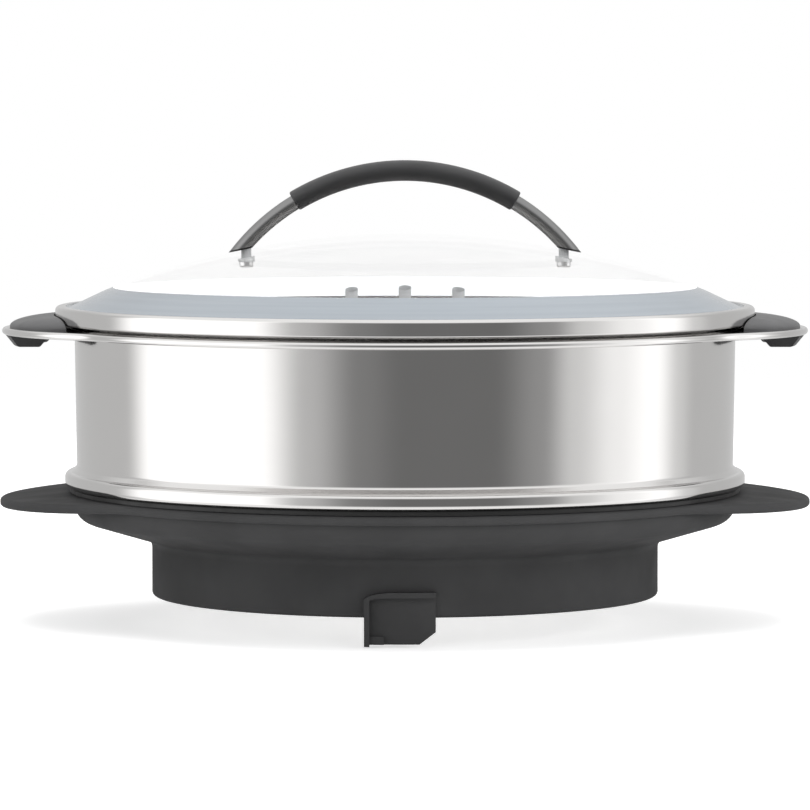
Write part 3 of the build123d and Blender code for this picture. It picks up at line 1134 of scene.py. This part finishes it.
@dataclass
class EarGrips:
    """The grips that are clamped on each ear: a domed pad on it and a bar under it."""

    ear_radius: float = 100.0
    ring_gap: float = 0.7
    pad_height: float = 7.6
    pad_edge: float = 2.0
    pad_shoulder: float = 24.0
    pad_swing: float = 27.0
    crown_steps: int = 20
    end_steps: int = 24
    bar_width: float = 17.0
    bar_slope: float = 4.5
    bar_lip: float = 2.3
    lip_drop: float = 1.5
    bar_swing: float = 30.0
    head_gap: float = 0.1
    edge_round: float = 0.5
    rim: NodeBox = node_box("rim_plate")
    ring: NodeBox = node_box("lid_ring")
    pad: NodeBox = node_box("grip_top_right")
    bar: NodeBox = node_box("grip_bottom_right")
    screws: NodeBox = node_box("grip_screws")

    @property
    def centre(self) -> Vector:
        """Gives the centre of the right ear's round."""
        return Vector((self.rim.high.x - self.ear_radius, 0, 0))

    def pad_section(self) -> BMesh:
        """Draws the pad's section: a quarter of an ellipse over a low upright edge.

        Returns:
            A new mesh.
        """
        base, outer = self.pad.low.z, self.pad.high.x
        inner = outer - self.pad_shoulder
        mesh = bmesh.new()
        crown = mesh.verts.new((0, 0, 1))
        edge = only(Vert, spin(mesh, Axis.Y, math.pi / 2, self.crown_steps, geometry=[crown]))[0]
        resize(mesh, self.pad_shoulder, 1, self.pad_height - self.pad_edge)
        move(mesh, (inner, 0, base + self.pad_edge))
        join_points(mesh, [edge, mesh.verts.new((outer, 0, base)), mesh.verts.new((inner, 0, base)), crown])
        return mesh

    def build_pad(self, ear: Ear) -> None:
        """Makes the domed pad of one ear, round at its ends and cut where the lid's ring stands.

        Args:
            ear: The ear.
        """
        half_angle = math.radians(self.pad_swing)
        mesh = swing(self.pad_section(), Axis.Z, self.centre, half_angle, SWING_STEPS)
        crown = Vector((self.pad.high.x - self.pad_shoulder, 0, 0))
        for side in SIDES:
            end = self.pad_section()
            spin(end, Axis.Z, side * math.pi / 2, self.end_steps, crown)
            rotate(end, Axis.Z, side * half_angle, self.centre)
            join_into(mesh, end)
        weld(mesh)
        bmesh.ops.holes_fill(mesh, edges=open_edges(mesh), sides=0)
        resize(mesh, ear.value, 1, 1)
        ring = Bore(0, 0, self.ring.high.x + self.ring_gap, self.bar.low.z, self.ring.high.z, TURN_STEPS)
        side_name = ear.name.lower()
        name, node = f"domed_grip_{side_name}", f"grip_top_{side_name}"
        finish_piece(mesh, name, GRIP_PLASTIC, "basket", node, [ring], self.edge_round)

    def build_bar(self, ear: Ear) -> None:
        """Makes the bar under one ear, with sloping sides and ends and two recessed screws.

        Args:
            ear: The ear.
        """
        top, low, lip = self.bar.high.z, self.bar.low.z, self.bar.high.x
        outer = lip - self.bar_lip
        inner = outer - self.bar_width
        corners = [
            Corner(inner, top),
            Corner(inner + self.bar_slope, low, 1.2),
            Corner(lip - self.bar_slope, low, 1.6),
            Corner(lip, top - self.lip_drop, 0.4),
            Corner(outer, top - self.lip_drop),
            Corner(outer, top),
        ]
        mesh = swing(draw_section(corners), Axis.Z, self.centre, math.radians(self.bar_swing), SWING_STEPS)
        for side in SIDES:
            outward = Vector((0, side * (top - low), -self.bar_slope))
            trim(mesh, Vector((0, side * self.bar.high.y, top)), outward)
        resize(mesh, ear.value, 1, 1)
        x = ear.value * (self.screws.high.x - GRIP_SCREW.head_radius)
        y = self.screws.high.y - GRIP_SCREW.head_radius
        depth = self.screws.low.z + GRIP_SCREW.head_height
        radius = GRIP_SCREW.head_radius + self.head_gap
        heads = [Bore(x, side * y, radius, low - GRIP_SCREW.head_height, depth) for side in SIDES]
        side_name = ear.name.lower()
        name, node = f"under_grip_{side_name}", f"grip_bottom_{side_name}"
        # The bar's darker colour is painted shade, not a darker plastic.
        finish_piece(mesh, name, BAR_PLASTIC_PAINTED_SHADE, "basket", node, heads, self.edge_round)

    def build(self) -> None:
        """Makes the pad and the bar of each ear."""
        for ear in Ear:
            self.build_pad(ear)
            self.build_bar(ear)


@dataclass
class Lid:
    """The lid: domed glass in a steel ring, and a bow with a sleeve."""

    sheet: float = 0.8
    ring_height: float = 8.9
    ring_top: float = 5.2
    ring_overhang: float = 10.4
    hem: float = 2.6
    hem_slope: float = 1.2
    foot_width: float = 3.2
    foot_slope: float = 1.4
    lip_gap: float = 0.6
    glass_thickness: float = 4.2
    edge_gap: float = 0.6
    flat_width: float = 5.6
    bend_step: float = 1.2
    break_round: float = 60.0
    steep_lead: float = 4.0
    dome_rise: float = 36.5
    dome_steps: int = 32
    break_inset: float = 24.35
    break_fall: float = 28.3
    vent_radius: float = 3.0
    vent_inset: float = 14.6
    vent_spacing: float = 25.3
    bore_slope: float = 0.5
    bow_radius: float = 106.0
    bow_thickness: float = 7.6
    bow_width: float = 11.0
    oval_steps: int = 40
    sleeve_thickness: float = 10.38
    sleeve_width: float = 13.4
    sleeve_offset: float = 0.6
    sleeve_half_angle: float = 31.2
    sleeve_edge: float = 0.9
    pad: float = 0.8
    screw_hole: float = 2.5
    ring: NodeBox = node_box("lid_ring")
    glass: NodeBox = node_box("lid_glass")
    bow: NodeBox = node_box("handle_bow")
    screws: NodeBox = node_box("handle_screws")

    @property
    def dome_top(self) -> float:
        """Gives the height of the dome's top."""
        return self.glass.high.z

    @property
    def glass_top(self) -> float:
        """Gives the height of the glass's flat edge."""
        return self.dome_top - self.dome_rise

    @property
    def break_radius(self) -> float:
        """Gives the radius at which the dome gets steeper."""
        return self.ring.high.x - self.break_inset

    @property
    def dome_radius(self) -> float:
        """Gives the radius of the dome's sphere."""
        return (self.break_radius**2 + self.break_fall**2) / (2 * self.break_fall)

    @property
    def dome_centre(self) -> Vector:
        """Gives the centre of the dome's sphere."""
        return Vector((0, 0, self.dome_top - self.dome_radius))

    @property
    def bow_centre(self) -> Vector:
        """Gives the centre of the bow's circle."""
        return Vector((0, 0, self.bow.high.z - self.bow_thickness / 2 - self.bow_radius))

    @property
    def screw_reach(self) -> float:
        """Gives the distance of the handle's screws from the axis."""
        return self.screws.high.x - HANDLE_SCREW.head_radius

    def dome_arc(self, mesh: BMesh, radius: float) -> Vert:
        """Draws the arc of one face of the dome, from the axis outwards.

        Args:
            mesh: The mesh that gets the arc.
            radius: The radius of that face.

        Returns:
            The last point, where the dome gets steeper.
        """
        pole = mesh.verts.new(self.dome_centre + Vector((0, 0, radius)))
        angle = math.asin(self.break_radius / self.dome_radius)
        return only(Vert, spin(mesh, Axis.Y, angle, self.dome_steps, self.dome_centre, [pole]))[0]

    def glass_section(self) -> BMesh:
        """Draws the section of the glass: two arcs joined by the steeper zone and the flat edge.

        Returns:
            A new mesh.
        """
        mesh = bmesh.new()
        outer = self.dome_arc(mesh, self.dome_radius)
        inner = self.dome_arc(mesh, self.dome_radius - self.glass_thickness)
        edge = self.ring.high.x - self.sheet - self.edge_gap
        flat = edge - self.flat_width
        top, bottom = self.glass_top, self.glass_top - self.glass_thickness
        corners = [
            Corner(flat, top, 6.0),
            Corner(edge, top, 1.2),
            Corner(edge, bottom, 1.2),
            Corner(flat - self.bend_step, bottom, 8.0),
        ]
        points = [mesh.verts.new((corner.x, 0, corner.z)) for corner in corners]
        join_points(mesh, [outer, *points, inner])
        for point, corner in zip(points, corners):
            round_corner(mesh, point, corner.rounding)
        for point in (outer, inner):
            round_corner(mesh, point, self.break_round)
        return mesh

    def bores(self) -> list[Bore]:
        """Places the three vents at the front of the dome, and the two screw holes.

        Returns:
            The five holes.
        """
        y = -math.sqrt((self.break_radius - self.vent_inset) ** 2 - self.vent_spacing**2)
        low, high = self.glass.low.z, self.dome_top + self.vent_radius
        vents = [Bore(step * self.vent_spacing, y, self.vent_radius, low, high) for step in (-1, 0, 1)]
        return vents + [Bore(side * self.screw_reach, 0, self.screw_hole, low, high) for side in SIDES]

    def zone_of(self, face: bpy.types.MeshPolygon) -> GlassZone:
        """Finds the zone that one face of the glass lies in.

        Args:
            face: The face, in metres.

        Returns:
            The zone.
        """
        steep = face.center.xy.length / MM > self.break_radius - self.steep_lead
        if steep and face.normal.z > 0:
            return GlassZone.STEEP_EDGE
        upright = not steep and abs(face.normal.z) < self.bore_slope
        return GlassZone.GROUND_BORE if upright else GlassZone.CLEAR_DOME

    def build_glass(self) -> None:
        """Makes the domed glass with its holes, and gives each zone its look."""
        mesh = turn_round(self.glass_section())
        piece = finish_piece(mesh, "domed_glass", DOME_GLASS, "lid", "lid_glass", self.bores())
        # The steep edge's material carries painted shade and a painted white glow; the bores get ground
        # glass.
        for finish in (STEEP_GLASS, GROUND_GLASS):
            piece.data.materials.append(finish.material())
        for face in piece.data.polygons:
            face.material_index = self.zone_of(face).value

    def build_ring(self) -> None:
        """Makes the steel ring: top over the glass, hem, seat under the glass and lip."""
        radius, top = self.ring.high.x, self.ring.high.z
        low = top - self.ring_height
        hem_low = low + self.sheet / 4
        hem_inner = radius - self.hem
        under_glass = self.glass_top - self.glass_thickness - self.sheet
        lip = radius - self.ring_overhang - self.lip_gap
        foot = lip + self.foot_width
        path = [
            Corner(radius - self.ring_top, top),
            Corner(radius, top, 2.2),
            Corner(radius, hem_low, 1.2),
            Corner(hem_inner, hem_low, 1.0),
            Corner(hem_inner - self.hem_slope, under_glass, 1.0),
            Corner(foot + self.foot_slope, under_glass, 1.0),
            Corner(foot, low, 1.0),
            Corner(lip, low, 1.0),
            Corner(lip, self.ring.low.z),
        ]
        mesh = turn_round(draw_section(sheet_corners(path, self.sheet)))
        finish_piece(mesh, "polished_ring", BASKET_STEEL, "lid", "lid_ring")

    def bow_band(self, thickness: float, width: float, offset: float, half_angle: float) -> BMesh:
        """Turns an oval about the bow's centre.

        Args:
            thickness: The oval's height, away from the centre.
            width: The oval's width along Y.
            offset: How far its middle lies outside the bow's own middle line.
            half_angle: How far it reaches to each side of the top, in radians.

        Returns:
            A new mesh, open at both ends.
        """
        mesh = bmesh.new()
        stand = Matrix.Rotation(math.pi / 2, 4, "Y")
        bmesh.ops.create_circle(mesh, segments=self.oval_steps, radius=0.5, matrix=stand)
        resize(mesh, 1, width, thickness)
        move(mesh, self.bow_centre + Vector((0, 0, self.bow_radius + offset)))
        swing(mesh, Axis.Y, self.bow_centre, half_angle, max(8, round(math.degrees(half_angle))))
        weld(mesh)
        return mesh

    def cut_at_dome(self, mesh: BMesh) -> None:
        """Cuts both feet of the bow along the dome, a pad's height over it.

        Args:
            mesh: The bow.
        """
        foot_z = self.dome_centre.z + math.sqrt(self.dome_radius**2 - self.screw_reach**2)
        for side in SIDES:
            foot = Vector((side * self.screw_reach, 0, foot_z))
            normal = (foot - self.dome_centre).normalized()
            half = [vert for vert in mesh.verts if vert.co.x * side > 0]
            near = {item for vert in half for item in (vert, *vert.link_edges, *vert.link_faces)}
            trim(mesh, foot + normal * self.pad, -normal, list(near))

    def build_bow(self) -> None:
        """Makes the bow and its sleeve."""
        reach = math.asin(min(1.0, (self.screw_reach + self.bow_thickness) / self.bow_radius))
        bow = self.bow_band(self.bow_thickness, self.bow_width, 0, reach)
        self.cut_at_dome(bow)
        finish_piece(bow, "satin_bow", BOW_STEEL, "lid", "handle_bow")
        half_angle = math.radians(self.sleeve_half_angle)
        sleeve = self.bow_band(self.sleeve_thickness, self.sleeve_width, self.sleeve_offset, half_angle)
        mouths = open_edges(sleeve)
        bmesh.ops.holes_fill(sleeve, edges=mouths, sides=0)
        bmesh.ops.bevel(
            sleeve,
            geom=mouths,
            offset=self.sleeve_edge,
            offset_type="OFFSET",
            segments=4,
            profile=0.5,
            affect="EDGES",
            material=-1,
        )
        finish_piece(sleeve, "soft_sleeve", SLEEVE_RUBBER, "lid", "handle_sleeve")

    def build(self) -> None:
        """Makes every piece of the lid."""
        self.build_glass()
        self.build_ring()
        self.build_bow()
        screws = HANDLE_SCREW.draw_set(self.screws, (0,))
        finish_piece(screws, "handle_screw_pair", SCREW_STEEL, "lid", "handle_screws")
        finish_piece(copy_node("foot_pads"), "bow_foot_pads", SEAL_RUBBER, "lid", "foot_pads")
        washers = copy_node("under_washers")
        finish_piece(washers, "clear_washers", WASHER_SILICONE, "lid", "under_washers")


@dataclass(frozen=True)
class Lamp:
    """A square soft lamp that looks at the part: its place, its side and its power in watts."""

    name: str
    place: tuple[float, float, float]
    side: float
    power: float

    def build(self, target: Vector) -> None:
        """Puts the lamp in the scene.

        Args:
            target: The point that it looks at.
        """
        light = bpy.data.lights.new(self.name, "AREA")
        light.shape = "SQUARE"
        light.size = self.side * MM
        light.energy = self.power
        lamp = bpy.data.objects.new(self.name, light)
        lamp.location = Vector(self.place) * MM
        lamp.rotation_euler = (target - Vector(self.place)).to_track_quat("-Z", "Y").to_euler()
        lamp.visible_glossy = False
        bpy.context.scene.collection.objects.link(lamp)


@dataclass
class Studio:
    """A white room with soft light, a dark card behind the camera and softboxes at its sides.

    The horizon gives the brightness that metal and glass see round the part: each pair is an azimuth
    in degrees, from the front, and a brightness.
    """

    elevation: float = 3.4
    distance: float = 2600.0
    look_z: float = 94.4
    lens: float = 231.1
    floor_z: float = -14.0
    floor_radius: float = 2400.0
    floor_lift: float = 0.55
    floor_white: float = 0.9
    floor_steps: int = 96
    fade_start: float = 500.0
    brightest: float = 1.6
    overhead: float = 1.1
    overhead_from: float = 0.35
    overhead_full: float = 0.75
    ambient: float = 0.62
    horizon: tuple[tuple[float, float], ...] = (
        (-180, 0.66), (-150, 0.6), (-113, 0.62), (-97, 1.55), (-52, 1.5), (-34, 0.62),
        (-15, 0.26), (0, 0.185), (30, 0.185), (48, 0.36), (60, 0.8), (78, 1.2),
        (96, 1.5), (110, 0.8), (120, 0.6), (150, 0.6), (180, 0.66),
    )
    lamps: tuple[Lamp, ...] = (
        Lamp("overhead", (0, -300, 1900), 1500, 20.0),
        Lamp("left_side", (-1700, -900, 700), 1000, 6.0),
        Lamp("right_side", (1700, -900, 700), 1000, 12.0),
    )

    def horizon_light(self, graph: NodeGraph, axes: Sequence[Socket]) -> Socket:
        """Gives the brightness that metal and glass see round the horizon.

        Args:
            graph: The world's graph.
            axes: The direction's X, Y and Z.

        Returns:
            The output socket with a colour.
        """
        azimuth = graph.maths("ARCTAN2", axes[0], graph.maths("MULTIPLY", axes[1], -1.0))
        share = graph.maths("ADD", graph.maths("DIVIDE", azimuth, 2 * math.pi), 0.5)
        ramp = graph.add("ValToRGB", {0: share})
        ramp.color_ramp.interpolation = "EASE"
        marks = ramp.color_ramp.elements
        while len(marks) < len(self.horizon):
            marks.new(0.5)
        for mark, (degrees, brightness) in zip(marks, self.horizon):
            mark.position = (degrees + 180) / 360
            mark.color = (*[brightness / self.brightest] * 3, 1)
        return graph.stretch(ramp.outputs[0], (self.brightest,) * 3)

    def build_world(self) -> None:
        """Makes the world: white to the camera and through glass, the studio in reflections."""
        world = bpy.data.worlds.new("studio")
        bpy.context.scene.world = world
        graph = NodeGraph(world)
        direction = graph.add("TexCoord").outputs["Generated"]
        axes = graph.add("SeparateXYZ", {0: direction}).outputs
        steepness = graph.maths("ABSOLUTE", axes[2])
        overhead = graph.ramp(steepness, self.overhead_from, self.overhead_full)
        around = graph.blend(overhead, self.horizon_light(graph, axes), (*[self.overhead] * 3, 1))
        path = graph.add("LightPath").outputs
        white = graph.maths("MAXIMUM", path["Is Camera Ray"], path["Is Transmission Ray"])
        white = graph.maths("MAXIMUM", white, path["Is Singular Ray"])
        soft = graph.add("Background", {"Color": (1, 1, 1, 1), "Strength": self.ambient}).outputs[0]
        seen = graph.add("Background", {"Color": (1, 1, 1, 1), "Strength": 1.0}).outputs[0]
        shine = graph.add("Background", {"Color": around, "Strength": 1.0}).outputs[0]
        metal = graph.add("MixShader", {0: path["Is Glossy Ray"], 1: soft, 2: shine}).outputs[0]
        all_rays = graph.add("MixShader", {0: white, 1: metal, 2: seen}).outputs[0]
        graph.add("OutputWorld", {"Surface": all_rays})

    def build_floor(self) -> None:
        """Makes the pale floor, which fades out before its edge and is clear from below."""
        mesh = bmesh.new()
        bmesh.ops.create_circle(
            mesh,
            cap_ends=True,
            segments=self.floor_steps,
            radius=self.floor_radius,
            matrix=Matrix.Translation((0, 0, self.floor_z)),
        )
        floor = make_piece(mesh, "pale_floor")
        if floor.data.polygons[0].normal.z < 0:
            floor.data.flip_normals()
        material = bpy.data.materials.new("pale_floor")
        graph = NodeGraph(material)
        far = graph.distance(graph.place(), (1, 1, 0))
        fade = graph.ramp(far, self.fade_start * MM, self.floor_radius * MM)
        fade = graph.maths("MAXIMUM", fade, graph.add("NewGeometry").outputs["Backfacing"])
        camera_ray = graph.add("LightPath").outputs["Is Camera Ray"]
        glow = graph.maths("MULTIPLY", camera_ray, self.floor_lift)
        pale = graph.add("BsdfDiffuse", {"Color": tinted((1, 1, 1), self.floor_white)}).outputs[0]
        lift = graph.add("Emission", {"Strength": glow}).outputs[0]
        lit = graph.add("AddShader", {0: pale, 1: lift}).outputs[0]
        clear = graph.add("BsdfTransparent").outputs[0]
        surface = graph.add("MixShader", {0: fade, 1: lit, 2: clear}).outputs[0]
        graph.add("OutputMaterial", {"Surface": surface})
        floor.data.materials.append(material)
        floor.visible_glossy = False

    def build_camera(self) -> None:
        """Makes the camera at the photograph's viewing angle."""
        tilt = math.radians(self.elevation)
        data = bpy.data.cameras.new("front")
        data.lens = self.lens
        data.sensor_width = 36.0
        data.clip_start = 0.05
        data.clip_end = 50.0
        camera = bpy.data.objects.new("front", data)
        place = Vector((0, -math.cos(tilt), math.sin(tilt))) * self.distance
        camera.location = (place + Vector((0, 0, self.look_z))) * MM
        camera.rotation_euler = (math.pi / 2 - tilt, 0, 0)
        bpy.context.scene.collection.objects.link(camera)
        bpy.context.scene.camera = camera

    def build(self) -> None:
        """Makes the whole stage and sets plain colours."""
        bpy.context.scene.view_settings.view_transform = "Standard"
        self.build_camera()
        self.build_world()
        self.build_floor()
        for lamp in self.lamps:
            lamp.build(Vector((0, 0, self.look_z)))


def main() -> None:
    """Builds the studio and the sub-assemblies."""
    logging.basicConfig(level=logging.INFO, format="%(name)s %(message)s")
    Studio().build()
    for assembly in (SteamerBase(), Basket(), EarGrips(), Lid()):
        log.info("building %s", type(assembly).__name__)
        assembly.build()
    bpy.context.view_layer.update()


if __name__ == "__main__":
    main()
